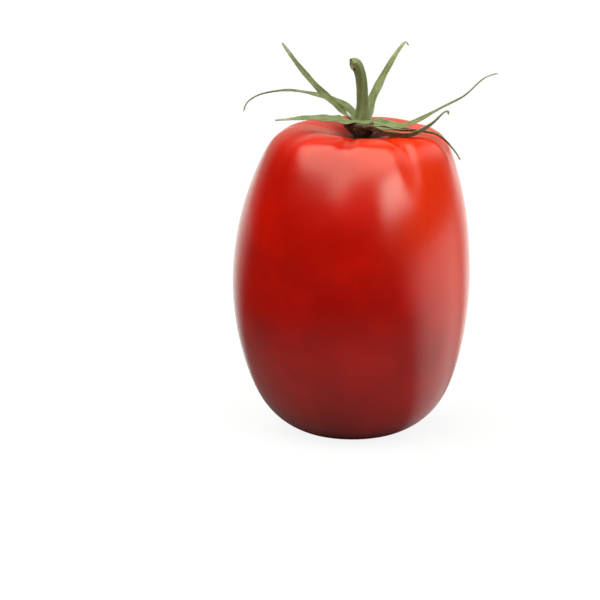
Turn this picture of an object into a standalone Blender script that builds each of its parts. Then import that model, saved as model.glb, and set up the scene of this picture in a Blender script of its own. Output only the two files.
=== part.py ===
"""Plum tomato with its green calyx and a short cut stem, standing on its blossom end.

Three pieces, in metres with +Z up and the origin in the middle of the flat spot it rests on:
  fruit  one solid, a turned profile with creased shoulders and faintly three-sided flanks
  calyx  seven dried sepals fused to the small hub that sits in the fruit's basin
  stem   a short bent pedicel, cut square at its free end
"""

import math
from dataclasses import dataclass

import bmesh
import bpy
import numpy as np
from mathutils import Quaternion, Vector

# Fruit: points that pull the turned outline, from the basin's floor over the rim to the flat spot
FRUIT_OUTLINE = (
    (0.0, 0.0670), (0.0034, 0.0670), (0.0056, 0.0692), (0.0092, 0.0702), (0.0136, 0.0709),
    (0.0186, 0.0689), (0.0210, 0.0652), (0.0231, 0.0595), (0.0255, 0.0515), (0.0269, 0.0415),
    (0.0271, 0.0310), (0.0254, 0.0195), (0.0214, 0.0072), (0.0138, 0.0005), (0.0074, -0.0008),
    (0.0, -0.0008),
)
FRUIT_HEIGHT = 0.0705
OUTLINE_STEPS = 3
TURN_STEPS = 66

# Creases run down the shoulders from the rim and die out above the widest level
CREASE_COUNT = 6
CREASE_ANGLE = math.radians(-46)
CREASE_DROP = 0.0009
CREASE_INSET = 0.0009
CREASE_END = 0.046
CREASE_INNER = 0.004
CREASE_OUTER = 0.012

# The rim dips on one side, the flanks bulge over three seed chambers, the crown leans to +X
RIM_DIP = 0.0006
RIM_DIP_ANGLE = math.radians(-50)
RIM_INNER = (0.002, 0.009)
RIM_OUTER = (0.013, 0.020)
FLANK_COUNT = 3
FLANK_ANGLE = math.radians(-64)
FLANK_BULGE = 0.0004
CROWN_LEAN = 0.0016

# Hub of the calyx: its centre, and its turned outline as radius and height from that centre
HUB_CENTRE = Vector((0.0020, 0.0, 0.0714))
HUB_OUTLINE = (
    (0.0, 0.0006), (0.0018, 0.0006), (0.0034, 0.0003), (0.0042, -0.0003), (0.0040, -0.0011),
    (0.0032, -0.0020), (0.0022, -0.0029), (0.0016, -0.0041), (0.0, -0.0041),
)
HUB_STEPS = 24

# Sepals: least thickness and tail width of a solid blade, and the share of a rib near its root
BLADE_THICKNESS = 0.00062
TAIL_WIDTH = 0.00068
RIB_STEPS = 24
ROOT_SHARE = 0.16

# Stem: centre line from the hub's centre, then its radius from the foot to the cut end
STEM_LINE = (
    (0.0001, 0.0, 0.0012), (0.0002, 0.0001, 0.0038), (0.0001, 0.0002, 0.0068),
    (-0.0001, 0.0002, 0.0094), (-0.0006, 0.0001, 0.0116), (-0.0014, 0.0, 0.0130),
    (-0.0024, -0.0003, 0.0131),
)
STEM_RADII = (0.00150, 0.00136, 0.00130, 0.00122, 0.00120, 0.00128, 0.00122)
STEM_FACETS = 5
STEM_STEPS = 5


@dataclass(frozen=True)
class Sepal:
    """One sepal: its rib from the hub's centre, its full width and how soon that narrows.

    Turn and twist are degrees about the rib, at the root and added by the tip. Cup is the
    rise of the blade's edges as a share of its width.
    """

    rib: tuple
    width: float
    taper: float
    turn: float
    twist: float = 0.0
    cup: float = 0.10


SEPALS = (
    Sepal(
        rib=((-0.0008, -0.0006, 0.0), (-0.0036, -0.0028, 0.0007), (-0.0071, -0.0048, 0.0014),
             (-0.0108, -0.0063, 0.0019), (-0.0152, -0.0077, 0.0019), (-0.0195, -0.0085, 0.0017)),
        width=0.0040, taper=0.9, turn=-22, cup=0.06),
    Sepal(
        rib=((-0.0007, 0.0001, -0.0001), (-0.0032, 0.0, 0.0014), (-0.0056, -0.0006, 0.0038),
             (-0.0090, -0.0010, 0.0068), (-0.0137, -0.0011, 0.0121), (-0.0180, -0.0011, 0.0181)),
        width=0.0023, taper=0.45, turn=12, twist=8, cup=0.22),
    Sepal(
        rib=((-0.0004, 0.0006, -0.0001), (-0.0022, 0.0028, 0.0019), (-0.0052, 0.0052, 0.0036),
             (-0.0104, 0.0080, 0.0049), (-0.0165, 0.0100, 0.0055), (-0.0224, 0.0120, 0.0044),
             (-0.0258, 0.0127, 0.0024), (-0.0268, 0.0130, 0.0)),
        width=0.0034, taper=2.3, turn=-18, twist=10, cup=0.10),
    Sepal(
        rib=((0.0003, 0.0004, -0.0001), (0.0012, 0.0030, 0.0010), (0.0021, 0.0051, 0.0033),
             (0.0035, 0.0068, 0.0061), (0.0059, 0.0091, 0.0104), (0.0083, 0.0110, 0.0141),
             (0.0101, 0.0120, 0.0162), (0.0109, 0.0124, 0.0153)),
        width=0.0033, taper=0.75, turn=-10, cup=0.08),
    Sepal(
        rib=((0.0004, 0.0, 0.0), (0.0028, -0.0013, -0.0003), (0.0056, -0.0030, -0.0006),
             (0.0088, -0.0041, -0.0001), (0.0130, -0.0047, 0.0017), (0.0175, -0.0048, 0.0041),
             (0.0227, -0.0042, 0.0065), (0.0271, -0.0030, 0.0102), (0.0305, -0.0020, 0.0113)),
        width=0.0046, taper=1.7, turn=34, twist=-24, cup=0.06),
    Sepal(
        rib=((0.0003, -0.0003, -0.0002), (0.0038, -0.0030, -0.0006), (0.0080, -0.0052, -0.0009),
             (0.0124, -0.0062, -0.0010), (0.0154, -0.0062, -0.0014), (0.0170, -0.0064, -0.0020),
             (0.0188, -0.0062, -0.0034), (0.0203, -0.0056, -0.0052), (0.0213, -0.0050, -0.0066),
             (0.0221, -0.0045, -0.0081)),
        width=0.0024, taper=0.8, turn=-8, cup=0.14),
    Sepal(
        rib=((0.0001, -0.0006, -0.0002), (0.0020, -0.0040, -0.0010), (0.0047, -0.0068, -0.0014),
             (0.0080, -0.0088, -0.0014), (0.0112, -0.0094, -0.0010), (0.0136, -0.0090, 0.0),
             (0.0158, -0.0085, 0.0013), (0.0180, -0.0081, 0.0033), (0.0190, -0.0078, 0.0036),
             (0.0191, -0.0077, 0.0027)),
        width=0.0027, taper=0.8, turn=-40, twist=30, cup=0.12),
)


def smooth_step(low, high, value):
    """Ease from 0 at low to 1 at high."""
    share = min(max((value - low) / (high - low), 0.0), 1.0)
    return share * share * (3.0 - 2.0 * share)


def spline_through(points, steps):
    """Points of a Catmull-Rom curve through the given points, evenly spread along it."""
    knots = [Vector(point) for point in points]
    knots = [2 * knots[0] - knots[1], *knots, 2 * knots[-1] - knots[-2]]
    fine = []
    for before, start, end, after in zip(knots, knots[1:], knots[2:], knots[3:]):
        for share in np.linspace(0.0, 1.0, 12, endpoint=False):
            fine.append(0.5 * (2 * start + (end - before) * share
                               + (2 * before - 5 * start + 4 * end - after) * share ** 2
                               + (3 * start - before - 3 * end + after) * share ** 3))
    fine.append(knots[-2])
    fine = np.array(fine)
    lengths = np.linalg.norm(np.diff(fine, axis=0), axis=1)
    travelled = np.concatenate(([0.0], np.cumsum(lengths)))
    stations = np.linspace(0.0, travelled[-1], steps + 1)
    columns = [np.interp(stations, travelled, fine[:, axis]) for axis in range(3)]
    return [Vector(point) for point in zip(*columns)]


def principled(name, colour, roughness):
    """Material with one Principled BSDF."""
    material = bpy.data.materials.new(name)
    material.use_nodes = True
    shader = material.node_tree.nodes["Principled BSDF"]
    shader.inputs["Base Color"].default_value = (*colour, 1.0)
    shader.inputs["Roughness"].default_value = roughness
    shader.inputs["Metallic"].default_value = 0.0
    return material


def add_object(name, data, collection, material=None):
    """New object in the collection, with its material."""
    thing = bpy.data.objects.new(name, data)
    collection.objects.link(thing)
    if material:
        thing.data.materials.clear()
        thing.data.materials.append(material)
    return thing


def evaluated_mesh(thing, weld):
    """Mesh of an object with its modifiers applied and close points welded."""
    graph = bpy.context.evaluated_depsgraph_get()
    mesh = bpy.data.meshes.new_from_object(thing.evaluated_get(graph))
    shell = bmesh.new()
    shell.from_mesh(mesh)
    bmesh.ops.remove_doubles(shell, verts=shell.verts, dist=weld)
    shell.to_mesh(mesh)
    shell.free()
    return mesh


def turned_mesh(name, outline, order, outline_steps, turn_steps, collection):
    """Closed mesh of an outline of radius and height turned once round Z."""
    curve = bpy.data.curves.new(name, "CURVE")
    curve.dimensions = "3D"
    spline = curve.splines.new("NURBS")
    spline.points.add(len(outline) - 1)
    for point, (radius, height) in zip(spline.points, outline):
        point.co = (radius, 0.0, height, 1.0)
    spline.use_endpoint_u = True
    spline.order_u = order
    spline.resolution_u = outline_steps
    profile = add_object(name, curve, collection)
    screw = profile.modifiers.new("Turn", "SCREW")
    screw.steps = turn_steps
    screw.render_steps = turn_steps
    screw.use_merge_vertices = True
    screw.merge_threshold = 0.00001
    mesh = evaluated_mesh(profile, 0.00001)
    bpy.data.objects.remove(profile)
    return mesh


def shape_fruit(point):
    """Move one point of the turned outline: flanks, creases, lean and the flat spot."""
    radius = math.hypot(point.x, point.y)
    angle = math.atan2(point.y, point.x)
    height = point.z
    middle = math.sin(math.pi * smooth_step(0.0, FRUIT_HEIGHT, height))
    bulge = FLANK_BULGE * math.cos(FLANK_COUNT * (angle - FLANK_ANGLE)) * middle
    crease = (0.5 + 0.5 * math.cos(CREASE_COUNT * (angle - CREASE_ANGLE))) ** 2
    crease *= smooth_step(CREASE_END, FRUIT_HEIGHT, height)
    crease *= smooth_step(CREASE_INNER, CREASE_OUTER, radius)
    moved = radius + (bulge - CREASE_INSET * crease) * smooth_step(0.0, CREASE_OUTER, radius)
    plateau = smooth_step(*RIM_INNER, radius) * (1.0 - smooth_step(*RIM_OUTER, radius))
    if height > CREASE_END:
        height -= RIM_DIP * math.cos(angle - RIM_DIP_ANGLE) * plateau
    height -= CREASE_DROP * crease
    lean = CROWN_LEAN * (max(height, 0.0) / FRUIT_HEIGHT) ** 3
    return Vector((moved * math.cos(angle) + lean, moved * math.sin(angle), max(height, 0.0)))


def make_fruit(collection):
    """The fruit as one solid."""
    mesh = turned_mesh("fruit_outline", FRUIT_OUTLINE, 4, OUTLINE_STEPS, TURN_STEPS, collection)
    for vertex in mesh.vertices:
        vertex.co = shape_fruit(vertex.co)
    mesh.shade_smooth()
    skin = principled("tomato_skin", (0.60, 0.014, 0.003), 0.25)
    return add_object("fruit", mesh, collection, skin)


def past_root(share):
    """Ease from 0 inside the hub to 1 where the blade is free of it."""
    return smooth_step(ROOT_SHARE / 2, 1.5 * ROOT_SHARE, share)


def sepal_width(sepal, share):
    """Blade width at a share of the rib: full past the root, then narrowing to the tail."""
    swell = 0.75 + 0.25 * smooth_step(0.0, ROOT_SHARE, share)
    return TAIL_WIDTH + (sepal.width - TAIL_WIDTH) * swell * (1.0 - share) ** sepal.taper


def rib_frames(rib, sepal):
    """Unit side and face directions at each rib point, carried along without twisting."""
    ahead = [(after - before).normalized() for before, after in zip(rib, rib[1:])]
    ahead.append(ahead[-1])
    side = ahead[0].cross(Vector((0.0, 0.0, 1.0))).normalized()
    frames = []
    for index, direction in enumerate(ahead):
        if index:
            side = ahead[index - 1].rotation_difference(direction) @ side
        share = index / (len(rib) - 1)
        turn = (sepal.turn + sepal.twist * share) * past_root(share)
        turned = Quaternion(direction, math.radians(turn)) @ side
        frames.append((turned, turned.cross(direction)))
    return frames


def make_sepal(name, sepal, collection):
    """One closed blade: a strip laid along the rib, cupped across, then thickened."""
    rib = [HUB_CENTRE + point for point in spline_through(sepal.rib, RIB_STEPS)]
    frames = rib_frames(rib, sepal)
    strip = bmesh.new()
    bmesh.ops.create_grid(strip, x_segments=RIB_STEPS, y_segments=2, size=1.0)
    for vertex in strip.verts:
        share = (vertex.co.x + 1.0) / 2.0
        across = vertex.co.y
        station = round(share * RIB_STEPS)
        side, face = frames[station]
        width = sepal_width(sepal, share)
        rise = sepal.cup * width * across * across * past_root(share)
        vertex.co = rib[station] + side * (across * width / 2.0) + face * rise
    bmesh.ops.triangulate(strip, faces=strip.faces)
    mesh = bpy.data.meshes.new(name)
    strip.to_mesh(mesh)
    strip.free()
    blade = add_object(name, mesh, collection)
    thick = blade.modifiers.new("Thickness", "SOLIDIFY")
    thick.thickness = BLADE_THICKNESS
    thick.offset = 0.0
    return blade


def make_calyx(collection):
    """Hub and sepals joined into one body."""
    pieces = bpy.data.collections.new("calyx_pieces")
    bpy.context.scene.collection.children.link(pieces)
    for index, sepal in enumerate(SEPALS):
        make_sepal(f"sepal_{index + 1}", sepal, pieces)
    mesh = turned_mesh("hub_outline", HUB_OUTLINE, 3, 3, HUB_STEPS, collection)
    for vertex in mesh.vertices:
        vertex.co += HUB_CENTRE
    green = principled("calyx_green", (0.16, 0.19, 0.06), 0.62)
    hub = add_object("calyx", mesh, collection, green)
    join = hub.modifiers.new("Join sepals", "BOOLEAN")
    join.operation = "UNION"
    join.operand_type = "COLLECTION"
    join.collection = pieces
    hub.data = evaluated_mesh(hub, 0.000001)
    hub.modifiers.clear()
    hub.data.materials.clear()
    hub.data.materials.append(green)
    for blade in list(pieces.objects):
        bpy.data.objects.remove(blade)
    bpy.data.collections.remove(pieces)
    return hub


def make_stem(collection):
    """The bent pedicel: a tube along its line, closed at the foot and at the cut."""
    curve = bpy.data.curves.new("stem_line", "CURVE")
    curve.dimensions = "3D"
    line = spline_through(STEM_LINE, STEM_STEPS * (len(STEM_LINE) - 1))
    spline = curve.splines.new("POLY")
    spline.points.add(len(line) - 1)
    stations = np.linspace(0.0, len(STEM_RADII) - 1, len(line))
    radii = np.interp(stations, range(len(STEM_RADII)), STEM_RADII)
    for point, place, radius in zip(spline.points, line, radii):
        point.co = (*(HUB_CENTRE + place), 1.0)
        point.radius = float(radius)
    curve.bevel_depth = 1.0
    curve.bevel_resolution = STEM_FACETS
    curve.use_fill_caps = True
    tube = add_object("stem_line", curve, collection)
    mesh = evaluated_mesh(tube, 0.00001)
    bpy.data.objects.remove(tube)
    mesh.shade_smooth()
    mesh.set_sharp_from_angle(angle=math.radians(50))
    return add_object("stem", mesh, collection, principled("stem_green", (0.13, 0.15, 0.04), 0.6))


def main():
    """Clear the scene and model the tomato."""
    for thing in list(bpy.data.objects):
        bpy.data.objects.remove(thing)
    tomato = bpy.data.collections.new("tomato")
    bpy.context.scene.collection.children.link(tomato)
    make_fruit(tomato)
    make_calyx(tomato)
    make_stem(tomato)


main()
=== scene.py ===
"""Visual model of a plum tomato standing on its blossom end, with its calyx and stem.

The fruit, hub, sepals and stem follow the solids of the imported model, but some sepals are wider
or turned further. The finer forms, hairs, veins and colours are made here. Lengths are metres and
angles are radians.
"""

from __future__ import annotations

import logging
import math
from collections.abc import Callable, Sequence
from dataclasses import dataclass, field
from enum import Enum
from math import radians
from typing import Union

import bpy
from bpy.types import ID, Material, Mesh, Node, NodeSocket, NodeTree, Object
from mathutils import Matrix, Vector

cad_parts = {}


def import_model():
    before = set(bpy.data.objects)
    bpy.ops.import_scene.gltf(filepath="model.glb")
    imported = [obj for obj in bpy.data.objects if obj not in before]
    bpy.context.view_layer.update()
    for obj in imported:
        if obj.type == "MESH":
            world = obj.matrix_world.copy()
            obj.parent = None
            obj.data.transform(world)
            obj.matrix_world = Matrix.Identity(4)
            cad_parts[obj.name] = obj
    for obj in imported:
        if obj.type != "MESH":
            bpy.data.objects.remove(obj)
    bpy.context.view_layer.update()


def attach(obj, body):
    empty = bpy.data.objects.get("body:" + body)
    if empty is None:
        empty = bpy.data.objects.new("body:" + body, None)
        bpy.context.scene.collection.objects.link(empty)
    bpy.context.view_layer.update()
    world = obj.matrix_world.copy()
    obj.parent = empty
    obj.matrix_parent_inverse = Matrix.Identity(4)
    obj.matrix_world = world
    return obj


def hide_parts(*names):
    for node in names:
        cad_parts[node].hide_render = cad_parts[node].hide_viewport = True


LOG = logging.getLogger("tomato")
BODY = "root"
TURN = 2.0 * math.pi
WELD = 0.000001
HUB_CENTRE = Vector((0.0020, 0.0, 0.0714))

# Heights where the blossom scar ends and where it is full
SCAR_TOP = 0.004
SCAR_FULL = 0.001

Point = tuple[float, ...]
Colour = tuple[float, float, float]
Feed = Union["Term", NodeSocket, float, int, bool, str, Point, Vector]


class LineKind(Enum):
    """How a drawn line treats its points."""

    PULLED = "NURBS"
    THROUGH = "POLY"


class Slot(Enum):
    """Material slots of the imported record."""

    SKIN = "tomato_skin"
    CALYX = "calyx_green"
    STEM = "stem_green"


def term_first(operation: str) -> Callable[[Term, Feed], Term]:
    """Operator that has the term on its left."""
    return lambda term, other: term.wiring.combine(operation, term, other)


def number_first(operation: str) -> Callable[[Term, Feed], Term]:
    """Operator that has a plain number on its left."""
    return lambda term, other: term.wiring.combine(operation, other, term)


class Term:
    """A number or vector that flows through a node tree, with arithmetic that adds nodes."""

    def __init__(self, wiring: Wiring, socket: NodeSocket) -> None:
        """Hold one output socket of a tree."""
        self.wiring = wiring
        self.socket = socket

    __add__ = term_first("ADD")
    __sub__ = term_first("SUBTRACT")
    __mul__ = term_first("MULTIPLY")
    __truediv__ = term_first("DIVIDE")
    __pow__ = term_first("POWER")
    __radd__ = number_first("ADD")
    __rsub__ = number_first("SUBTRACT")
    __rmul__ = number_first("MULTIPLY")

    def __abs__(self) -> Term:
        """Size of the term without its sign."""
        return self.wiring.function("ABSOLUTE", self)


class Wiring:
    """Adds nodes to one tree and joins them."""

    def __init__(self, tree: NodeTree) -> None:
        """Work on the given tree."""
        self.tree = tree

    def add(self, kind: str, feeds: dict[str | int, Feed] | None = None,
            **settings: object) -> Node:
        """Add a node.

        Args:
            kind: Blender's name of the node type.
            feeds: What each input takes, by name or number.
            **settings: Properties of the node.

        Returns:
            The new node.
        """
        node = self.tree.nodes.new(kind)
        for name, value in settings.items():
            setattr(node, name, value)
        for name, value in (feeds or {}).items():
            self.feed(node.inputs[name], value)
        return node

    def feed(self, socket: NodeSocket, value: Feed) -> None:
        """Join a term or socket to an input, or set the input's own value."""
        if isinstance(value, Term):
            value = value.socket
        if isinstance(value, NodeSocket):
            self.tree.links.new(value, socket)
        else:
            socket.default_value = value

    def term(self, node: Node, output: str | int = 0) -> Term:
        """One output of a node as a term."""
        return Term(self, node.outputs[output])

    def combine(self, operation: str, first: Feed, second: Feed) -> Term:
        """Combine two numbers, two vectors, or a vector and a number.

        Args:
            operation: Name of the math operation.
            first: Left value.
            second: Right value.

        Returns:
            The result.
        """
        vectors = [self.is_vector(value) for value in (first, second)]
        if not any(vectors):
            return self.function(operation, first, second)
        if all(vectors):
            node = self.add("ShaderNodeVectorMath", {0: first, 1: second}, operation=operation)
            return self.term(node)
        vector, number = (first, second) if vectors[0] else (second, first)
        node = self.add("ShaderNodeVectorMath", {0: vector, "Scale": number}, operation="SCALE")
        return self.term(node)

    @staticmethod
    def is_vector(value: Feed) -> bool:
        """Whether a value has three parts."""
        if isinstance(value, Term):
            return value.socket.type == "VECTOR"
        return isinstance(value, (tuple, Vector))

    def function(self, operation: str, *values: Feed) -> Term:
        """Math node with the given operation on numbers."""
        node = self.add("ShaderNodeMath", dict(enumerate(values)), operation=operation)
        return self.term(node)

    def cross(self, first: Feed, second: Feed) -> Term:
        """Cross product of two vectors."""
        node = self.add("ShaderNodeVectorMath", {0: first, 1: second}, operation="CROSS_PRODUCT")
        return self.term(node)

    def ease(self, low: Feed, high: Feed, value: Feed) -> Term:
        """Smooth step from 0 at low to 1 at high, whichever is larger."""
        feeds = {"Value": value, "From Min": low, "From Max": high}
        return self.term(self.add("ShaderNodeMapRange", feeds, interpolation_type="SMOOTHSTEP"))

    def spread(self, value: Feed, low: Feed, high: Feed) -> Term:
        """Number from low to high for a value from 0 to 1."""
        feeds = {"Value": value, "To Min": low, "To Max": high}
        return self.term(self.add("ShaderNodeMapRange", feeds))

    def parts(self, vector: Feed) -> tuple[Term, Term, Term]:
        """The three parts of a vector."""
        node = self.add("ShaderNodeSeparateXYZ", {0: vector})
        return self.term(node, 0), self.term(node, 1), self.term(node, 2)

    def joined(self, x: Feed, y: Feed, z: Feed) -> Term:
        """Vector of three numbers."""
        return self.term(self.add("ShaderNodeCombineXYZ", {0: x, 1: y, 2: z}))

    def noise(self, place: Feed, scale: Feed, detail: float = 2.0) -> Term:
        """Smooth noise from about 0 to 1 at a place."""
        feeds = {"Vector": place, "Scale": scale, "Detail": detail}
        return self.term(self.add("ShaderNodeTexNoise", feeds))

    def mix(self, share: Feed, first: Feed, second: Feed) -> Term:
        """Colour between two colours."""
        feeds = {0: share, 6: self.opaque(first), 7: self.opaque(second)}
        return self.term(self.add("ShaderNodeMix", feeds, data_type="RGBA"), 2)

    @staticmethod
    def opaque(colour: Feed) -> Feed:
        """Plain colours gain an alpha of one."""
        return (*colour, 1.0) if isinstance(colour, tuple) and len(colour) == 3 else colour


class ShapeTree(Wiring):
    """Geometry tree whose named inputs are the fields of one kind of part."""

    KINDS = {
        float: "NodeSocketFloat",
        int: "NodeSocketInt",
        Vector: "NodeSocketVector",
        Material: "NodeSocketMaterial",
    }

    def __init__(self, name: str, sample: object) -> None:
        """Start an empty tree.

        Args:
            name: Name of the tree.
            sample: A part of the kind that the tree makes, for the types of its fields.
        """
        super().__init__(bpy.data.node_groups.new(name, "GeometryNodeTree"))
        self.sample = sample
        self.labels: dict[str, str] = {}
        for way in ("INPUT", "OUTPUT"):
            self.tree.interface.new_socket("Geometry", in_out=way, socket_type="NodeSocketGeometry")
        self.entry = self.add("NodeGroupInput")
        self.exit = self.add("NodeGroupOutput")

    @property
    def start(self) -> Term:
        """The geometry that enters the tree."""
        return self.term(self.entry, "Geometry")

    @staticmethod
    def field_name(label: str) -> str:
        """Name of the part's field behind an input's label."""
        return label.lower().replace(" ", "_")

    def size(self, label: str) -> Term:
        """Named input that carries the field of the same name."""
        if label not in self.labels:
            kind = self.KINDS[type(getattr(self.sample, self.field_name(label)))]
            socket = self.tree.interface.new_socket(label, in_out="INPUT", socket_type=kind)
            self.labels[label] = socket.identifier
        return self.term(self.entry, label)

    def wall(self, along: Feed, around: Feed) -> tuple[Term, Term, Term]:
        """Flat grid that is about to be wrapped round something.

        Args:
            along: Number of points along the form.
            around: Number of points round it, the seam counted twice.

        Returns:
            The grid, the share along and the share around, both from 0 to 1.
        """
        feeds = {"Size X": 1.0, "Size Y": 1.0, "Vertices X": along, "Vertices Y": around}
        grid = self.term(self.add("GeometryNodeMeshGrid", feeds), "Mesh")
        x, y, _ = self.parts(self.term(self.add("GeometryNodeInputPosition")))
        return grid, x + 0.5, y + 0.5

    def smoothed(self, steps: Term) -> Term:
        """The line that enters the tree, made smooth and evenly stepped."""
        smooth = self.add("GeometryNodeCurveSplineType", {"Curve": self.start},
                          spline_type="CATMULL_ROM")
        feeds = {"Curve": self.term(smooth), "Count": steps}
        return self.term(self.add("GeometryNodeResampleCurve", feeds))

    def sampled(self, line: Term, share: Term, value: Feed = 0.0) -> dict[str, Term]:
        """Place, direction, side and value of a line at a share of its length."""
        feeds = {"Curves": line, "Factor": share, "Value": value}
        node = self.add("GeometryNodeSampleCurve", feeds, mode="FACTOR", data_type="FLOAT")
        return {name: self.term(node, name) for name in ("Position", "Tangent", "Normal", "Value")}

    def marked(self, mesh: Term, name: str, value: Term) -> Term:
        """Mesh with a vector kept on its points for the materials."""
        node = self.add("GeometryNodeStoreNamedAttribute", {"Geometry": mesh, "Name": name},
                        data_type="FLOAT_VECTOR", domain="POINT")
        socket = next(slot for slot in node.inputs if slot.name == "Value" and slot.enabled)
        self.feed(socket, value)
        return self.term(node, "Geometry")

    def closed(self, mesh: Term, place: Term) -> Term:
        """Grid moved to its places, with its seam and poles welded and its faces smooth."""
        moved = self.add("GeometryNodeSetPosition", {"Geometry": mesh, "Position": place})
        welded = self.add("GeometryNodeMergeByDistance",
                          {"Geometry": self.term(moved), "Distance": WELD})
        return self.term(self.add("GeometryNodeSetShadeSmooth", {"Geometry": self.term(welded)}))

    def end(self, mesh: Term, material: Term) -> None:
        """Finish the tree with real geometry and its material."""
        real = self.add("GeometryNodeRealizeInstances", {"Geometry": mesh})
        dressed = self.add("GeometryNodeSetMaterial",
                           {"Geometry": self.term(real), "Material": material})
        self.feed(self.exit.inputs["Geometry"], self.term(dressed))

    def shape(self, thing: Object, part: object) -> Mesh:
        """Run the tree on a helper object, then remove the helper.

        Args:
            thing: Helper that brings the line or surface.
            part: The part whose fields fill the named inputs.

        Returns:
            The result as a plain mesh.
        """
        modifier = thing.modifiers.new(self.tree.name, "NODES")
        modifier.node_group = self.tree
        for label, identifier in self.labels.items():
            modifier[identifier] = getattr(part, self.field_name(label))
        graph = bpy.context.evaluated_depsgraph_get()
        mesh = bpy.data.meshes.new_from_object(thing.evaluated_get(graph))
        bpy.data.objects.remove(thing)
        return mesh


def placed(name: str, data: ID) -> Object:
    """New object in the scene."""
    thing = bpy.data.objects.new(name, data)
    bpy.context.scene.collection.objects.link(thing)
    return thing


def drawn_line(points: Sequence[Point], kind: LineKind, order: int = 4, steps: int = 16,
               radii: Sequence[float] = ()) -> Object:
    """Curve object of one open line.

    Args:
        points: Its points in metres, as (x, y, z).
        kind: Whether the points pull the line or lie on it.
        order: Smoothness of a pulled line.
        steps: Steps between two points of a pulled line.
        radii: Radius at each point, for a line that has them.

    Returns:
        The object, which is only a helper.
    """
    curve = bpy.data.curves.new("line", "CURVE")
    curve.dimensions = "3D"
    spline = curve.splines.new(kind.value)
    spline.points.add(len(points) - 1)
    for point, place in zip(spline.points, points):
        point.co = (*place, 1.0)
    for point, radius in zip(spline.points, radii):
        point.radius = radius
    if kind is LineKind.PULLED:
        spline.use_endpoint_u = True
        spline.order_u = order
        spline.resolution_u = steps
    return placed("line", curve)


def declared(name: str, mesh: Mesh, node: str) -> Object:
    """Turn a finished mesh into a piece of the tomato.

    Args:
        name: Name of the piece.
        mesh: Its mesh, already in place.
        node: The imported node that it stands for.

    Returns:
        The piece, riding on the fruit's body.
    """
    piece = placed(name, mesh)
    mesh.name = name
    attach(piece, BODY)
    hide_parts(node)
    LOG.info("%s: %d faces, stands for %s", name, len(mesh.polygons), node)
    return piece


class Effects:
    """Node groups that several finishes share, each built once."""

    def __init__(self) -> None:
        """Build the groups."""
        self.mottle = self._mottle()
        self.speckle = self._speckle()

    @staticmethod
    def _group(name: str, inputs: dict[str, str]) -> tuple[Wiring, Node, Node]:
        """Empty group with named inputs and a mask as its output.

        Args:
            name: Name of the group.
            inputs: Socket type of each named input.

        Returns:
            Its wiring, entry node and exit node.
        """
        tree = bpy.data.node_groups.new(name, "ShaderNodeTree")
        for label, kind in inputs.items():
            tree.interface.new_socket(label, in_out="INPUT", socket_type=kind)
        tree.interface.new_socket("Mask", in_out="OUTPUT", socket_type="NodeSocketFloat")
        wiring = Wiring(tree)
        return wiring, wiring.add("NodeGroupInput"), wiring.add("NodeGroupOutput")

    def _mottle(self) -> NodeTree:
        """Cloudy patches with soft edges."""
        sockets = {"Place": "NodeSocketVector", "Scale": "NodeSocketFloat",
                   "Low": "NodeSocketFloat", "High": "NodeSocketFloat"}
        w, entry, leave = self._group("mottle", sockets)
        cloud = w.noise(w.term(entry, "Place"), w.term(entry, "Scale"), 3.0)
        mask = w.ease(w.term(entry, "Low"), w.term(entry, "High"), cloud)
        w.feed(leave.inputs["Mask"], mask)
        return w.tree

    def _speckle(self) -> NodeTree:
        """Small scattered dots of uneven size."""
        sockets = {"Place": "NodeSocketVector", "Scale": "NodeSocketFloat", "Size": "NodeSocketFloat"}
        w, entry, leave = self._group("speckle", sockets)
        feeds = {"Vector": w.term(entry, "Place"), "Scale": w.term(entry, "Scale")}
        cells = w.add("ShaderNodeTexVoronoi", feeds)
        luck, _, _ = w.parts(w.term(cells, "Color"))
        reach = w.term(entry, "Size") * luck
        w.feed(leave.inputs["Mask"], w.ease(reach, reach * 0.35, w.term(cells, "Distance")))
        return w.tree


class Dress(Wiring):
    """Node tree of one material around its Principled shader."""

    def __init__(self, name: str, effects: Effects) -> None:
        """Start a material.

        Args:
            name: Name of the material.
            effects: The shared node groups.
        """
        self.material = bpy.data.materials.new(name)
        self.material.use_nodes = True
        super().__init__(self.material.node_tree)
        self.shader = self.tree.nodes["Principled BSDF"]
        self.effects = effects
        self.place = self.term(self.add("ShaderNodeTexCoord"), "Object")

    def mottle(self, scale: float, low: float, high: float, place: Term | None = None) -> Term:
        """Mask of cloudy patches."""
        feeds = {"Place": place or self.place, "Scale": scale, "Low": low, "High": high}
        return self._effect(self.effects.mottle, feeds)

    def speckle(self, scale: float, size: float) -> Term:
        """Mask of small dots."""
        return self._effect(self.effects.speckle, {"Place": self.place, "Scale": scale, "Size": size})

    def _effect(self, group: NodeTree, feeds: dict[str | int, Feed]) -> Term:
        """Place a shared group and return its first output."""
        node = self.add("ShaderNodeGroup", node_tree=group)
        for label, value in feeds.items():
            self.feed(node.inputs[label], value)
        return self.term(node)

    def marks(self, name: str) -> tuple[Term, Term, Term]:
        """Three numbers that the mesh carries under a name."""
        node = self.add("ShaderNodeAttribute", attribute_name=name)
        return self.parts(self.term(node, "Vector"))

    def relief(self, height: Term, depth: float) -> None:
        """Bump of a depth in metres from a height mask."""
        bump = self.add("ShaderNodeBump", {"Strength": 1.0, "Distance": depth, "Height": height})
        self.feed(self.shader.inputs["Normal"], self.term(bump))

    def set(self, **values: Feed) -> None:
        """Set or join sockets of the shader, named with underscores for spaces."""
        for name, value in values.items():
            label = " ".join(word.capitalize() for word in name.split("_")).replace("Ior", "IOR")
            self.feed(self.shader.inputs[label], value)


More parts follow.
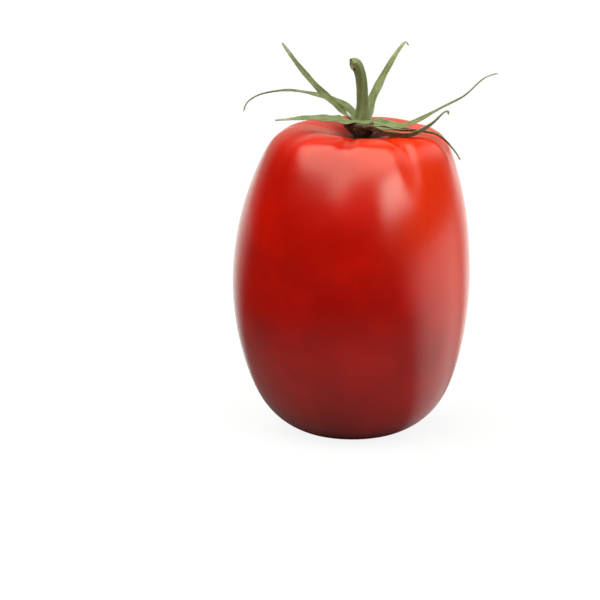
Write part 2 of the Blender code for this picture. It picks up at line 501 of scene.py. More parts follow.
@dataclass(frozen=True)
class SkinFinish:
    """Glossy ripe skin with slight clouding, faint streaks, flecks and the scar, a brown basin ring
    that is partly cork and partly painted shade under the calyx, a right side painted lighter and
    more orange as lit, a slightly warmer crown, and painted shade towards the bottom.
    """

    # The deep red serves the clouding, the streaks and the painted shade towards the bottom
    deep: Colour = (0.345, 0.0024, 0.0006)
    ripe: Colour = (0.53, 0.0054, 0.0009)
    # Lighter orange red, painted light on the right side and a warmer tint on the crown
    painted_orange: Colour = (0.70, 0.029, 0.0030)
    fleck: Colour = (0.72, 0.12, 0.03)
    # Dark brown of the basin ring, partly the basin's own cork and partly painted shade under the
    # calyx
    basin_cork_and_shade: Colour = (0.08, 0.014, 0.004)
    cork: Colour = (0.30, 0.17, 0.075)
    roughness: float = 0.22
    gloss_index: float = 1.55
    depth_of_peel: float = 0.000012
    # Bounds of the basin ring; its centre is shifted sideways, towards where the calyx's shadow falls
    basin_inner: float = 0.0036
    basin_outer: float = 0.0078
    basin_shift: float = 0.0032
    crown: float = 0.060
    crown_fade: float = 0.004
    scar: float = 0.0014
    # Heights of the painted shade towards the bottom: it fades out from the low height to the high
    # one
    low: float = 0.015
    high: float = 0.060
    # Where the painted light on the right side begins and how far it fades in
    painted_light_from: float = 0.027
    painted_light_fade: float = 0.017
    glow_share: float = 0.12
    glow_reach: Point = (0.0030, 0.0006, 0.0003)

    def make(self, effects: Effects) -> Material:
        """Build the material."""
        d = Dress("tomato_skin", effects)
        x, y, z = d.parts(d.place)
        reach = d.function("SQRT", x * x + y * y)
        # Painted shade with some cork: a dark ring round the calyx, off centre towards where its
        # shadow falls
        aside = d.function("SQRT", (x - self.basin_shift) ** 2.0 + y * y)
        aside = aside + (d.noise(d.place, 420.0) - 0.5) * 0.0022
        cloud = d.mottle(75.0, 0.38, 0.66)
        # Random clouding, plus painted shade that turns the skin to the deep red towards the bottom
        height = d.ease(self.low, self.high, z)
        colour = d.mix(cloud * 0.5 + height * 0.5, self.deep, self.ripe)
        # Painted light: the right side, where the key light falls, is painted lighter and more
        # orange; the crown is a little warmer as well
        painted_light_and_crown = d.ease(0.0, self.painted_light_fade, x + z * 0.5 - self.painted_light_from)
        painted_light_and_crown = d.function("MAXIMUM", painted_light_and_crown, d.ease(0.060, 0.070, z) * 0.22)
        colour = d.mix(painted_light_and_crown * 0.85, colour, self.painted_orange)
        streaks = d.mottle(1.0, 0.52, 0.70, d.joined(x * 520.0, y * 520.0, z * 34.0))
        colour = d.mix(streaks * 0.08, colour, self.deep)
        flecks = d.speckle(1900.0, 0.33)
        colour = d.mix(flecks * 0.10, colour, self.fleck)
        crown = d.ease(self.crown - self.crown_fade, self.crown, z)
        basin_and_shade_mask = d.ease(self.basin_outer, self.basin_inner, aside) * crown
        colour = d.mix(basin_and_shade_mask, colour, self.basin_cork_and_shade)
        foot = d.ease(SCAR_TOP, SCAR_FULL, z)
        scar = d.ease(self.scar, self.scar * 0.6, reach + d.noise(d.place, 900.0) * 0.0006) * foot
        colour = d.mix(scar, colour, self.cork)
        rough = d.spread(d.noise(d.place, 160.0), self.roughness - 0.03, self.roughness + 0.04)
        peel = d.noise(d.place, 1500.0, 1.0) + flecks * 0.4
        d.set(base_color=colour, roughness=rough + scar * 0.4 + basin_and_shade_mask * 0.5, ior=self.gloss_index,
              subsurface_weight=self.glow_share, subsurface_radius=self.glow_reach,
              subsurface_scale=1.0)
        d.relief(peel, self.depth_of_peel)
        return d.material


@dataclass(frozen=True)
class LeafFinish:
    """Sepal green with lengthwise veins, a paler midrib and dry tips, with painted shade: a darker
    underside that turns dark brown near the root, and a dark brown hub neck.
    """

    upper: Colour = (0.148, 0.190, 0.084)
    shade: Colour = (0.095, 0.128, 0.040)
    # Darker green of the undersides, painted shade
    under: Colour = (0.082, 0.098, 0.030)
    vein: Colour = (0.25, 0.30, 0.14)
    dry: Colour = (0.46, 0.48, 0.30)
    tip: Colour = (0.30, 0.25, 0.13)
    # Dark brown painted shade under the calyx, on the hub's neck and on the undersides near the root
    neck_shade: Colour = (0.040, 0.016, 0.005)
    veins: float = 15.0
    dry_from: float = 0.72
    # Heights between which the hub's neck turns to the painted shade
    hub_edge: float = 0.0717
    neck_top: float = 0.0711
    roughness: float = 0.58
    depth: float = 0.00007

    def make(self, effects: Effects) -> Material:
        """Build the material."""
        d = Dress("calyx_green", effects)
        share, across, side = d.marks("blade")
        off_rib = abs(across)
        cloud = d.mottle(420.0, 0.36, 0.66)
        top = d.mix(cloud, self.upper, self.shade)
        # Painted shade: the undersides are darker, and dark brown near the root
        shaded_below = d.mix(d.ease(0.74, 0.44, share), self.under, self.neck_shade)
        colour = d.mix(d.ease(0.12, -0.12, side), top, shaded_below)
        wander = off_rib + (d.noise(d.place, 500.0) - 0.5) * 0.10
        lines = d.ease(0.55, 1.0, d.function("COSINE", wander * self.veins))
        midrib = d.ease(0.16, 0.03, off_rib)
        veins = d.function("MAXIMUM", lines * 0.45, midrib * 0.8)
        colour = d.mix(veins * 0.7, colour, self.vein)
        worn = share + (d.noise(d.place, 260.0) - 0.5) * 0.30
        dried = d.ease(self.dry_from, 1.0, worn)
        margin = d.ease(0.86, 0.99, off_rib) * 0.4
        colour = d.mix(d.function("MAXIMUM", dried * 0.8, margin), colour, self.dry)
        colour = d.mix(d.ease(0.93, 0.99, share) * 0.5, colour, self.tip)
        # Painted shade: the hub below its rim turns dark brown
        _, _, height = d.parts(d.place)
        colour = d.mix(d.ease(self.hub_edge, self.neck_top, height) * d.ease(0.05, 0.02, share),
                       colour, self.neck_shade)
        rough = d.spread(cloud, self.roughness, self.roughness + 0.12)
        d.set(base_color=colour, roughness=rough, sheen_weight=0.12, sheen_roughness=0.45)
        d.relief(veins + d.noise(d.place, 2600.0) * 0.5, self.depth)
        return d.material


@dataclass(frozen=True)
class BarkFinish:
    """Ribbed olive stem with paler ridges and grooves painted darker as shade, small dark flecks and
    a pale cut end.
    """

    # Ridge green and darker groove green; the groove colour is painted shade in the grooves
    ridge: Colour = (0.136, 0.172, 0.058)
    groove: Colour = (0.102, 0.128, 0.037)
    fleck: Colour = (0.050, 0.045, 0.020)
    cut: Colour = (0.40, 0.36, 0.20)
    pith: Colour = (0.22, 0.18, 0.085)
    roughness: float = 0.60
    depth: float = 0.00008

    def make(self, effects: Effects) -> Material:
        """Build the material."""
        d = Dress("stem_green", effects)
        share, ridge, cut = d.marks("bark")
        # Painted shade in the grooves: they turn darker than the ridges, with random clouding mixed
        # in
        ridges_and_groove_shade = d.spread(d.mottle(380.0, 0.34, 0.68), -0.25, 0.25) + ridge
        colour = d.mix(d.ease(-0.1, 1.1, ridges_and_groove_shade), self.groove, self.ridge)
        colour = d.mix(d.ease(0.8, 1.0, share) * 0.20, colour, self.cut)
        flecks = d.speckle(1500.0, 0.42)
        colour = d.mix(flecks * 0.55, colour, self.fleck)
        rings = d.mottle(1800.0, 0.40, 0.62)
        colour = d.mix(d.ease(0.02, 0.18, cut), colour, d.mix(rings, self.cut, self.pith))
        rough = d.spread(rings, self.roughness, self.roughness + 0.15)
        d.set(base_color=colour, roughness=rough, sheen_weight=0.2, sheen_roughness=0.45)
        d.relief(d.noise(d.place, 2200.0, 3.0) + flecks * 0.5, self.depth)
        return d.material


@dataclass(frozen=True)
class DownFinish:
    """Pale hairs, a little greener at some than at others."""

    light: Colour = (0.40, 0.42, 0.29)
    green: Colour = (0.20, 0.24, 0.11)

    def make(self, effects: Effects) -> Material:
        """Build the material."""
        d = Dress("pale_down", effects)
        colour = d.mix(d.mottle(1400.0, 0.35, 0.65), self.light, self.green)
        d.set(base_color=colour, roughness=d.spread(d.noise(d.place, 900.0), 0.42, 0.58))
        return d.material


@dataclass
class Fruit:
    """The fruit, an outline turned once round and then shaped with creases, flanks and a lean."""

    skin: Material
    outline: tuple[Point, ...] = (
        (0.0, 0.0670), (0.0034, 0.0670), (0.0056, 0.0692), (0.0092, 0.0702), (0.0136, 0.0709),
        (0.0186, 0.0689), (0.0210, 0.0652), (0.0231, 0.0595), (0.0255, 0.0515), (0.0269, 0.0415),
        (0.0271, 0.0310), (0.0254, 0.0195), (0.0214, 0.0072), (0.0138, 0.0005), (0.0074, -0.0008),
        (0.0, -0.0008),
    )
    height: float = 0.0705
    crease_count: int = 8
    crease_angle: float = radians(-57.0)
    crease_power: float = 4.5
    crease_drop: float = 0.0008
    crease_inset: float = 0.00050
    crease_end: float = 0.054
    deep_angle: float = radians(-76.0)
    deep_power: float = 5.0
    shallow_share: float = 0.22
    crown: float = 0.046
    crease_inner: float = 0.004
    crease_outer: float = 0.012
    rim_dip: float = 0.0011
    rim_dip_angle: float = radians(-62.0)
    rim_dip_power: float = 1.5
    rim_inner: float = 0.002
    rim_risen: float = 0.009
    rim_top: float = 0.013
    rim_outer: float = 0.020
    flank_count: int = 3
    flank_angle: float = radians(-64.0)
    flank_bulge: float = 0.0004
    crown_lean: float = 0.0016
    unevenness: float = 0.00022
    patch_scale: float = 62.0
    scar_depth: float = 0.00045
    scar_radius: float = 0.0022
    rest_rounding: float = 0.0002
    steps_along: int = 190
    steps_around: int = 257

    def tree(self) -> ShapeTree:
        """Geometry tree that turns and shapes the outline."""
        t = ShapeTree("turned_fruit", self)
        grid, along, around = t.wall(t.size("Steps along"), t.size("Steps around"))
        radius, _, height = t.parts(t.sampled(t.start, along)["Position"])
        angle = around * TURN
        middle = t.function("SINE", t.ease(0.0, t.size("Height"), height) * math.pi)
        lobes = t.function("COSINE", t.size("Flank count") * (angle - t.size("Flank angle")))
        bulge = t.size("Flank bulge") * lobes * middle
        fold = t.function("COSINE", t.size("Crease count") * (angle - t.size("Crease angle")))
        crease = (fold * 0.5 + 0.5) ** t.size("Crease power")
        deep = t.function("COSINE", angle - t.size("Deep angle")) * 0.5 + 0.5
        deep = deep ** t.size("Deep power")
        crease = crease * t.spread(deep, t.size("Shallow share"), 1.0)
        crease = crease * t.ease(t.size("Crease end"), t.size("Height"), height)
        crease = crease * t.ease(t.size("Crease inner"), t.size("Crease outer"), radius)
        off_axis = t.ease(0.0, t.size("Crease outer"), radius)
        moved = radius + (bulge - t.size("Crease inset") * crease) * off_axis
        plateau = t.ease(t.size("Rim inner"), t.size("Rim risen"), radius)
        plateau = plateau * t.ease(t.size("Rim outer"), t.size("Rim top"), radius)
        upper = t.function("GREATER_THAN", height, t.size("Crown"))
        tip = t.function("COSINE", angle - t.size("Rim dip angle")) * 0.5 + 0.5
        tip = tip ** t.size("Rim dip power")
        lifted = height - t.size("Rim dip") * tip * plateau * upper
        lifted = lifted - t.size("Crease drop") * crease
        lean = t.size("Crown lean") * t.function("MAXIMUM", lifted / t.size("Height"), 0.0) ** 3.0
        cosine, sine = t.function("COSINE", angle), t.function("SINE", angle)
        patch = t.joined(moved * cosine, moved * sine, height * 0.6)
        rough = (t.noise(patch, t.size("Patch scale"), 1.0) - 0.5) * t.size("Unevenness") * 2.0
        moved = moved + rough * off_axis
        resting = t.function("SMOOTH_MAX", lifted, 0.0, t.size("Rest rounding"))
        scar = t.ease(t.size("Scar radius"), 0.0, radius) * t.ease(SCAR_TOP, SCAR_FULL, height)
        raised = resting + scar * t.size("Scar depth")
        place = t.joined(moved * cosine + lean, moved * sine, raised)
        t.end(t.closed(grid, place), t.size("Skin"))
        return t

    def build(self) -> Object:
        """Make the fruit's piece."""
        profile = [(radius, 0.0, height) for radius, height in self.outline]
        line = drawn_line(profile, LineKind.PULLED, steps=24)
        mesh = self.tree().shape(line, self)
        return declared("fruit_skin", mesh, "fruit")


@dataclass
class Sepal:
    """One blade of the calyx, laid along its rib."""

    rib: tuple[Point, ...]
    width: float
    taper: float
    turn: float
    twist: float = 0.0
    cup: float = 0.10
    seed: float = 0.0
    tail_width: float = 0.00036
    thickness: float = 0.00046
    tail_thickness: float = 0.00030
    root_share: float = 0.16
    root_close: float = 0.012
    tip_close: float = 0.985
    keel: float = 0.00022
    keel_reach: float = 0.32
    groove: float = 0.00010
    raggedness: float = 0.16
    ragged_scale: float = 9.0
    wave: float = 0.00022
    wave_count: float = 4.0
    rib_steps: int = 130
    rim_steps: int = 41
    green: Material | None = None

    @staticmethod
    def tree(sample: Sepal) -> ShapeTree:
        """Geometry tree that every blade shares."""
        t = ShapeTree("sepal_blade", sample)
        even = t.smoothed(t.size("Rib steps"))
        share = t.term(t.add("GeometryNodeSplineParameter"), "Factor")
        free = t.ease(t.size("Root share") * 0.5, t.size("Root share") * 1.5, share)
        tilt = (t.size("Turn") + t.size("Twist") * share) * free
        turned = t.term(t.add("GeometryNodeSetCurveTilt", {"Curve": even, "Tilt": tilt}))
        grid, along, around = t.wall(t.size("Rib steps"), t.size("Rim steps"))
        rib = t.sampled(turned, along)
        x = t.function("COSINE", around * TURN)
        y = t.function("SINE", around * TURN)
        free = t.ease(t.size("Root share") * 0.5, t.size("Root share") * 1.5, along)
        rest = 1.0 - along
        swell = t.ease(0.0, t.size("Root share"), along) * 0.25 + 0.75
        blade = (t.size("Width") - t.size("Tail width")) * swell * rest ** t.size("Taper")
        spot = t.joined(along * t.size("Ragged scale"), t.size("Seed"), x * 0.7)
        ragged = t.noise(spot, 1.0) - 0.5
        blade = blade * (1.0 + ragged * 2.0 * t.size("Raggedness") * free)
        root = t.ease(0.0, t.size("Root close"), along)
        tip = t.ease(1.0, t.size("Tip close"), along) * root
        width = (blade + t.size("Tail width")) * tip
        thick = t.size("Tail thickness")
        thick = (thick + (t.size("Thickness") - thick) * rest) * tip
        middle = t.ease(t.size("Keel reach"), 0.0, abs(x))
        keel = t.function("MAXIMUM", y * -1.0, 0.0) * middle * t.size("Keel") * rest * root
        groove = t.function("MAXIMUM", y, 0.0) * middle * t.size("Groove") * rest * root
        flutter = t.function("SINE", along * t.size("Wave count") * TURN + x * 2.0 + t.size("Seed"))
        lift = (t.size("Cup") * width + flutter * t.size("Wave") * rest) * x * x * free
        rise = lift + y * thick * 0.5 - keel - groove
        face = t.cross(rib["Normal"], rib["Tangent"])
        place = rib["Position"] + rib["Normal"] * (x * width * 0.5) + face * rise
        marked = t.marked(grid, "blade", t.joined(along, x, y))
        t.end(t.closed(marked, place), t.size("Green"))
        return t


@dataclass
class Calyx:
    """The hub and its seven sepals. Their points are from the hub's middle."""

    green: Material
    centre: Vector = field(default_factory=HUB_CENTRE.copy)
    hub_outline: tuple[Point, ...] = (
        (0.0, 0.0006), (0.0018, 0.0006), (0.0034, 0.0003), (0.0042, -0.0003), (0.0040, -0.0011),
        (0.0032, -0.0020), (0.0022, -0.0029), (0.0016, -0.0041), (0.0, -0.0041),
    )
    hub_ripple: float = 0.00012
    hub_lobes: int = 7
    hub_along: int = 60
    hub_around: int = 97
    sepals: tuple[Sepal, ...] = (
        Sepal(
            rib=((-0.0008, -0.0006, 0.0), (-0.0036, -0.0028, 0.0007), (-0.0071, -0.0048, 0.0014),
                 (-0.0108, -0.0063, 0.0019), (-0.0152, -0.0077, 0.0019),
                 (-0.0195, -0.0085, 0.0017)),
            width=0.0046, taper=1.0, turn=radians(-24.0), cup=0.06, seed=1.0),
        Sepal(
            rib=((-0.0007, 0.0001, -0.0001), (-0.0032, 0.0, 0.0014), (-0.0056, -0.0006, 0.0038),
                 (-0.0090, -0.0010, 0.0068), (-0.0137, -0.0011, 0.0121),
                 (-0.0180, -0.0011, 0.0181)),
            width=0.0022, taper=0.50, turn=radians(-56.0), twist=radians(8.0), cup=0.14,
            seed=2.0),
        Sepal(
            rib=((-0.0004, 0.0006, -0.0001), (-0.0022, 0.0028, 0.0019), (-0.0052, 0.0052, 0.0036),
                 (-0.0104, 0.0080, 0.0049), (-0.0165, 0.0100, 0.0055), (-0.0224, 0.0120, 0.0044),
                 (-0.0258, 0.0127, 0.0024), (-0.0268, 0.0130, 0.0)),
            width=0.0034, taper=2.3, turn=radians(-18.0), twist=radians(10.0), cup=0.10,
            seed=3.0),
        Sepal(
            rib=((0.0003, 0.0004, -0.0001), (0.0012, 0.0030, 0.0010), (0.0021, 0.0051, 0.0033),
                 (0.0035, 0.0068, 0.0061), (0.0059, 0.0091, 0.0104), (0.0083, 0.0110, 0.0141),
                 (0.0101, 0.0120, 0.0162), (0.0109, 0.0124, 0.0153)),
            width=0.0033, taper=0.75, turn=radians(-10.0), cup=0.08, seed=4.0),
        Sepal(
            rib=((0.0002, -0.0004, 0.0002), (0.0028, -0.0022, 0.0001), (0.0056, -0.0040, -0.0002),
                 (0.0088, -0.0050, -0.0002), (0.0130, -0.0052, 0.0014), (0.0175, -0.0050, 0.0039),
                 (0.0227, -0.0042, 0.0065), (0.0271, -0.0030, 0.0102), (0.0305, -0.0020, 0.0113)),
            width=0.0048, taper=2.7, turn=radians(36.0), twist=radians(-26.0), cup=0.06,
            seed=5.0, root_share=0.07),
        Sepal(
            rib=((0.0003, -0.0003, -0.0002), (0.0038, -0.0030, -0.0006),
                 (0.0080, -0.0052, -0.0009), (0.0124, -0.0062, -0.0010),
                 (0.0154, -0.0062, -0.0014), (0.0170, -0.0064, -0.0020),
                 (0.0188, -0.0062, -0.0034), (0.0203, -0.0056, -0.0052),
                 (0.0213, -0.0050, -0.0066), (0.0221, -0.0045, -0.0081)),
            width=0.0024, taper=0.8, turn=radians(-8.0), cup=0.14, seed=6.0),
        Sepal(
            rib=((0.0001, -0.0006, -0.0002), (0.0020, -0.0040, -0.0010),
                 (0.0047, -0.0070, -0.0015), (0.0080, -0.0092, -0.0017),
                 (0.0112, -0.0098, -0.0013), (0.0136, -0.0093, -0.0002), (0.0158, -0.0086, 0.0012),
                 (0.0180, -0.0081, 0.0033), (0.0190, -0.0078, 0.0036), (0.0191, -0.0077, 0.0027)),
            width=0.0036, taper=0.9, turn=radians(-50.0), twist=radians(8.0), cup=0.10,
            seed=7.0),
    )

    def hub_tree(self) -> ShapeTree:
        """Geometry tree of the hub, turned and rippled where the sepals leave it."""
        t = ShapeTree("turned_hub", self)
        grid, along, around = t.wall(t.size("Hub along"), t.size("Hub around"))
        radius, _, height = t.parts(t.sampled(t.start, along)["Position"])
        angle = around * TURN
        wave = t.function("COSINE", angle * t.size("Hub lobes"))
        outer = t.ease(0.001, 0.004, radius)
        height = height + wave * outer * t.size("Hub ripple")
        place = t.joined(radius * t.function("COSINE", angle),
                         radius * t.function("SINE", angle), height) + t.size("Centre")
        # The hub's lower part is marked as underside, so it takes the painted shade of the undersides
        side = t.ease(0.5, 0.2, along) * 2.0 - 1.0
        marked = t.marked(grid, "blade", t.joined(0.0, wave * 0.55, side))
        t.end(t.closed(marked, place), t.size("Green"))
        return t

    def build(self) -> list[Object]:
        """Make the hub's and the sepals' pieces."""
        profile = [(radius, 0.0, height) for radius, height in self.hub_outline]
        line = drawn_line(profile, LineKind.PULLED, order=3)
        hub = self.hub_tree().shape(line, self)
        pieces = [declared("calyx_hub", hub, "calyx")]
        tree = Sepal.tree(Sepal(rib=(), width=0.003, taper=1.0, turn=0.0, green=self.green))
        for number, sepal in enumerate(self.sepals, start=1):
            sepal.green = self.green
            line = drawn_line([self.centre + Vector(point) for point in sepal.rib],
                              LineKind.THROUGH)
            mesh = tree.shape(line, sepal)
            pieces.append(declared(f"sepal_{number}", mesh, "calyx"))
        return pieces


@dataclass
class Stem:
    """The bent stem with its ribs and its cut end. Its points are from the hub's middle."""

    bark: Material
    line: tuple[Point, ...] = (
        (0.0001, 0.0, 0.0002), (0.0002, 0.0001, 0.0038), (0.0001, 0.0002, 0.0068),
        (-0.0001, 0.0002, 0.0094), (-0.0006, 0.0001, 0.0116), (-0.0014, 0.0, 0.0130),
        (-0.0024, -0.0003, 0.0131),
    )
    radii: tuple[float, ...] = (0.00150, 0.00136, 0.00130, 0.00122, 0.00120, 0.00128, 0.00122)
    rib_count: int = 6
    rib_depth: float = 0.055
    rib_turn: float = 0.9
    foot_flare: float = 0.28
    flare_power: float = 7.0
    lumps: float = 0.07
    lump_scale: float = 520.0
    lump_reach: float = 0.002
    foot_share: float = 0.06
    cut_share: float = 0.90
    cut_hollow: float = 0.00035
    hollow_power: float = 4.0
    line_steps: int = 90
    steps_along: int = 150
    steps_around: int = 73

    def tree(self) -> ShapeTree:
        """Geometry tree that sweeps the ribbed stem and closes both ends."""
        t = ShapeTree("swept_stem", self)
        even = t.smoothed(t.size("Line steps"))
        grid, along, around = t.wall(t.size("Steps along"), t.size("Steps around"))
        foot, cut = t.size("Foot share"), t.size("Cut share")
        station = (along - foot) / (cut - foot)
        station = t.function("MINIMUM", t.function("MAXIMUM", station, 0.0), 1.0)
        ends = t.function("MINIMUM", along / foot, (1.0 - along) / (1.0 - cut))
        fill = t.function("MINIMUM", ends, 1.0)
        radius = t.term(t.add("GeometryNodeInputRadius"))
        line = t.sampled(even, station, radius)
        angle = around * TURN
        winding = station * t.size("Rib turn") * TURN
        ridge = t.function("COSINE", angle * t.size("Rib count") + winding)
        aside = t.function("COSINE", angle) * t.size("Lump reach")
        lump = t.noise(line["Position"] + line["Normal"] * aside, t.size("Lump scale"))
        lump = (lump - 0.5) * 2.0 * t.size("Lumps")
        flare = (1.0 - station) ** t.size("Flare power") * t.size("Foot flare")
        reach = line["Value"] * (1.0 + ridge * t.size("Rib depth") + lump + flare) * fill
        past = t.function("GREATER_THAN", along, cut)
        hollow = (1.0 - fill ** t.size("Hollow power")) * past * t.size("Cut hollow")
        across = t.cross(line["Normal"], line["Tangent"])
        place = (line["Position"] + line["Normal"] * (reach * t.function("COSINE", angle))
                 + across * (reach * t.function("SINE", angle)) - line["Tangent"] * hollow)
        marked = t.marked(grid, "bark", t.joined(station, ridge * 0.5 + 0.5, (1.0 - fill) * past))
        t.end(t.closed(marked, place), t.size("Bark"))
        return t

    def build(self) -> Object:
        """Make the stem's piece."""
        points = [HUB_CENTRE + Vector(point) for point in self.line]
        line = drawn_line(points, LineKind.THROUGH, radii=self.radii)
        mesh = self.tree().shape(line, self)
        return declared("stem_bark", mesh, "stem")


@dataclass
class Down:
    """Short hairs scattered over a leafy piece."""

    pale: Material
    density: float = 4000000.0
    length: float = 0.00042
    root: float = 0.000022
    shortest: float = 0.45
    longest: float = 1.25
    lean: float = 0.55
    seed: int = 11

    def tree(self) -> ShapeTree:
        """Geometry tree that plants the hairs."""
        t = ShapeTree("down", self)
        spots = t.add("GeometryNodeDistributePointsOnFaces",
                      {"Mesh": t.start, "Density": t.size("Density"), "Seed": t.size("Seed")},
                      distribute_method="RANDOM")
        hair = t.add("GeometryNodeMeshCone",
                     {"Vertices": 3, "Radius Top": 0.0, "Radius Bottom": t.size("Root"),
                      "Depth": t.size("Length")}, fill_type="TRIANGLE_FAN")
        sway = t.add("FunctionNodeRandomValue", data_type="FLOAT_VECTOR")
        t.feed(sway.inputs[0], Vector((-1.0, -1.0, -1.0)))
        t.feed(sway.inputs[1], Vector((1.0, 1.0, 1.0)))
        t.feed(sway.inputs["Seed"], t.size("Seed"))
        bend = t.add("FunctionNodeEulerToRotation", {"Euler": t.term(sway) * t.size("Lean")})
        aimed = t.add("FunctionNodeRotateRotation", {"Rotation": t.term(spots, "Rotation"),
                                                     "Rotate By": t.term(bend)},
                      rotation_space="LOCAL")
        growth = t.add("FunctionNodeRandomValue", data_type="FLOAT")
        t.feed(growth.inputs[2], t.size("Shortest"))
        t.feed(growth.inputs[3], t.size("Longest"))
        t.feed(growth.inputs["Seed"], t.size("Seed") + 1)
        planted = t.add("GeometryNodeInstanceOnPoints",
                        {"Points": t.term(spots), "Instance": t.term(hair, "Mesh"),
                         "Rotation": t.term(aimed), "Scale": t.term(growth, 1)})
        t.end(t.term(planted), t.size("Pale"))
        return t

    def build(self, name: str, bearers: Sequence[Object], node: str,
              slot: Slot) -> Object:
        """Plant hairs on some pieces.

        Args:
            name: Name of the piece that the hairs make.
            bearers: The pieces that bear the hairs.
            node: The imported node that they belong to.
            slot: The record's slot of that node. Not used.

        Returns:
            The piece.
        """
        points: list[Vector] = []
        faces: list[tuple[int, ...]] = []
        for bearer in bearers:
            start = len(points)
            points += [vertex.co.copy() for vertex in bearer.data.vertices]
            faces += [tuple(start + index for index in face.vertices)
                      for face in bearer.data.polygons]
        ground = bpy.data.meshes.new("ground")
        ground.from_pydata(points, [], faces)
        mesh = self.tree().shape(placed("bed", ground), self)
        return declared(name, mesh, node)


@dataclass(frozen=True)
class KeyLight:
    """A soft-edged patch of light, by its bearing from the front and its elevation."""

    bearing: float = radians(45.0)
    elevation: float = radians(24.0)
    half_width: float = radians(17.0)
    half_height: float = radians(2.5)
    edge: float = radians(6.0)
    strength: float = 14.0
    tint: Colour = (0.92, 1.0, 0.88)

    def glow(self, w: Wiring, x: Term, y: Term, z: Term) -> Term:
        """Light that comes from a direction."""
        wide = abs(w.function("ARCTAN2", x, y * -1.0) - self.bearing)
        tall = abs(w.function("ARCSINE", z) - self.elevation)
        inside = w.ease(self.half_width + self.edge, self.half_width - self.edge, wide)
        inside = inside * w.ease(self.half_height + self.edge, self.half_height - self.edge, tall)
        return inside * self.strength


@dataclass(frozen=True)
class OverheadBox:
    """A soft box overhead, wider in front, its sides as shares of its height above the fruit."""

    left: float = -1.56
    left_edge: float = 0.34
    left_slant: float = 1.3
    right: float = 0.45
    right_slant: float = -0.95
    lowest: float = 0.545
    lower_slant: float = 0.09
    back: float = 0.60
    least_rise: float = 0.05
    edge: float = 0.21
    lower_edge: float = 0.085
    strength: float = 3.5
    tint: Colour = (0.98, 0.96, 0.76)

    def glow(self, w: Wiring, x: Term, y: Term, z: Term) -> Term:
        """Light that comes from a direction."""
        up = w.function("MAXIMUM", z, self.least_rise)
        across, away = x / up, y / up
        from_left = across - away * self.left_slant - self.left
        from_right = self.right + away * self.right_slant - across
        inside = w.ease(-self.left_edge, self.left_edge, from_left)
        inside = inside * w.ease(-self.edge, self.edge, from_right)
        above = z - w.function("MINIMUM", x, 0.0) * self.lower_slant - self.lowest
        inside = inside * w.ease(-self.lower_edge, self.lower_edge, above)
        inside = inside * w.ease(self.back + self.edge, self.back - self.edge, away)
        return inside * self.strength


@dataclass(frozen=True)
class SideWindow:
    """Pale light from the right, higher up in front than at the back."""

    near: float = 0.36
    far: float = 0.74
    lowest: float = 0.45
    slant: float = 0.40
    edge: float = 0.09
    strength: float = 1.15
    tint: Colour = (0.96, 0.98, 0.88)

    def glow(self, w: Wiring, x: Term, y: Term, z: Term) -> Term:
        """Light that comes from a direction."""
        inside = w.ease(self.near, self.far, x)
        inside = inside * w.ease(-self.edge, self.edge, z + y * self.slant - self.lowest)
        return inside * self.strength


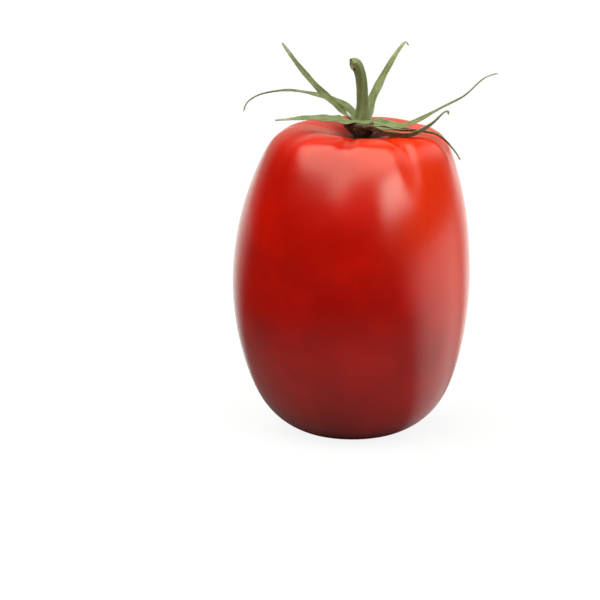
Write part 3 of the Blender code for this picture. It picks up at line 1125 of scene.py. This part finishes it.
@dataclass
class Studio:
    """Pale floor, soft light from all round and the camera at the photograph's angle."""

    boxes: tuple[OverheadBox | KeyLight | SideWindow, ...] = (
        OverheadBox(), KeyLight(), SideWindow())
    tint: Colour = (1.0, 0.94, 0.74)
    front_gloom: float = 0.004
    back_light: float = 0.50
    back_from: float = 0.36
    back_full: float = 0.94
    floor_size: float = 24.0
    floor_steps: int = 24
    floor_glow: float = 0.88
    behind_from: float = 0.40
    beside_from: float = 0.70
    under_full: float = 0.010
    under_end: float = 0.150
    under_share: float = 0.24
    dark_side: Colour = (0.018, 0.009, 0.009)
    pale_side: Colour = (0.74, 0.79, 0.92)
    aim: Vector = field(default_factory=lambda: Vector((-0.01185, 0.0, 0.0302)))
    distance: float = 0.70
    elevation: float = radians(13.0)
    lens: float = 184.3
    sensor: float = 36.0
    sight: float = 50.0

    def light(self) -> None:
        """Wrap the scene in light: soft boxes in front and above, pale sides and back."""
        world = bpy.data.worlds.new("studio")
        bpy.context.scene.world = world
        world.use_nodes = True
        w = Wiring(world.node_tree)
        background = world.node_tree.nodes["Background"]
        x, y, z = w.parts(w.term(w.add("ShaderNodeTexCoord"), "Generated"))
        pale = w.spread(w.ease(self.back_from, self.back_full, y), self.front_gloom, self.back_light)
        glow = w.joined(pale, pale, pale) * self.tint
        for box in self.boxes:
            glow = glow + box.glow(w, x, y, z) * box.tint
        seen = w.term(w.add("ShaderNodeLightPath"), "Is Camera Ray")
        white = w.joined(1.0, 1.0, 1.0)
        w.feed(background.inputs["Color"], glow * (1.0 - seen) + white * seen)

    def lay_floor(self, effects: Effects) -> None:
        """Make the pale floor, a little brighter to the camera than its light makes it."""
        mesh = bpy.data.meshes.new("floor")
        count = self.floor_steps + 1
        step = self.floor_size / self.floor_steps
        half = self.floor_size / 2.0
        points = [(column * step - half, row * step - half, 0.0)
                  for row in range(count) for column in range(count)]
        faces = [(row * count + column, row * count + column + 1,
                  (row + 1) * count + column + 1, (row + 1) * count + column)
                 for row in range(self.floor_steps) for column in range(self.floor_steps)]
        mesh.from_pydata(points, [], faces)
        floor = placed("floor", mesh)
        d = Dress("floor_white", effects)
        x, y, _ = d.parts(d.place)
        reach = d.function("MAXIMUM", d.function("SQRT", x * x + y * y), 0.001)
        behind = d.ease(self.behind_from, self.back_full, y / reach)
        beside = d.ease(self.beside_from, 1.0, x / reach)
        under = d.ease(self.under_end, self.under_full, reach) * self.under_share
        pale = d.function("MAXIMUM", d.function("MAXIMUM", behind, beside), under)
        spill = d.mix(pale, self.dark_side, self.pale_side)
        camera = d.term(d.add("ShaderNodeLightPath"), "Is Camera Ray")
        d.set(base_color=d.mix(camera, spill, self.pale_side), roughness=0.9,
              specular_ior_level=0.1)
        glow = d.add("ShaderNodeEmission", {"Color": (1.0, 1.0, 1.0, 1.0), "Strength": 1.0})
        blend = d.add("ShaderNodeMixShader",
                      {0: camera * self.floor_glow, 1: d.term(d.shader), 2: d.term(glow)})
        output = d.tree.nodes["Material Output"]
        d.feed(output.inputs["Surface"], d.term(blend))
        mesh.materials.append(d.material)

    def place_camera(self) -> None:
        """Set the camera at the photograph's distance, height and angle."""
        data = bpy.data.cameras.new("camera")
        data.lens = self.lens
        data.sensor_width = self.sensor
        data.clip_end = self.sight
        camera = placed("camera", data)
        back = Vector((0.0, -math.cos(self.elevation), math.sin(self.elevation)))
        camera.location = self.aim + back * self.distance
        camera.rotation_mode = "QUATERNION"
        camera.rotation_quaternion = (-back).to_track_quat("-Z", "Y")
        bpy.context.scene.camera = camera

    def build(self, effects: Effects) -> None:
        """Make the light, the floor and the camera."""
        self.light()
        self.lay_floor(effects)
        self.place_camera()
        bpy.context.scene.view_settings.view_transform = "Standard"


def main() -> None:
    """Build the tomato piece by piece, then the studio."""
    logging.basicConfig(level=logging.INFO, format="%(message)s")
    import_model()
    effects = Effects()
    green = LeafFinish().make(effects)
    pale = DownFinish().make(effects)
    Fruit(skin=SkinFinish().make(effects)).build()
    leaves = Calyx(green=green).build()
    stem = Stem(bark=BarkFinish().make(effects)).build()
    down = Down(pale=pale)
    down.build("calyx_down", leaves, "calyx", Slot.CALYX)
    down.build("stem_down", [stem], "stem", Slot.STEM)
    Studio().build(effects)


if __name__ == "__main__":
    main()
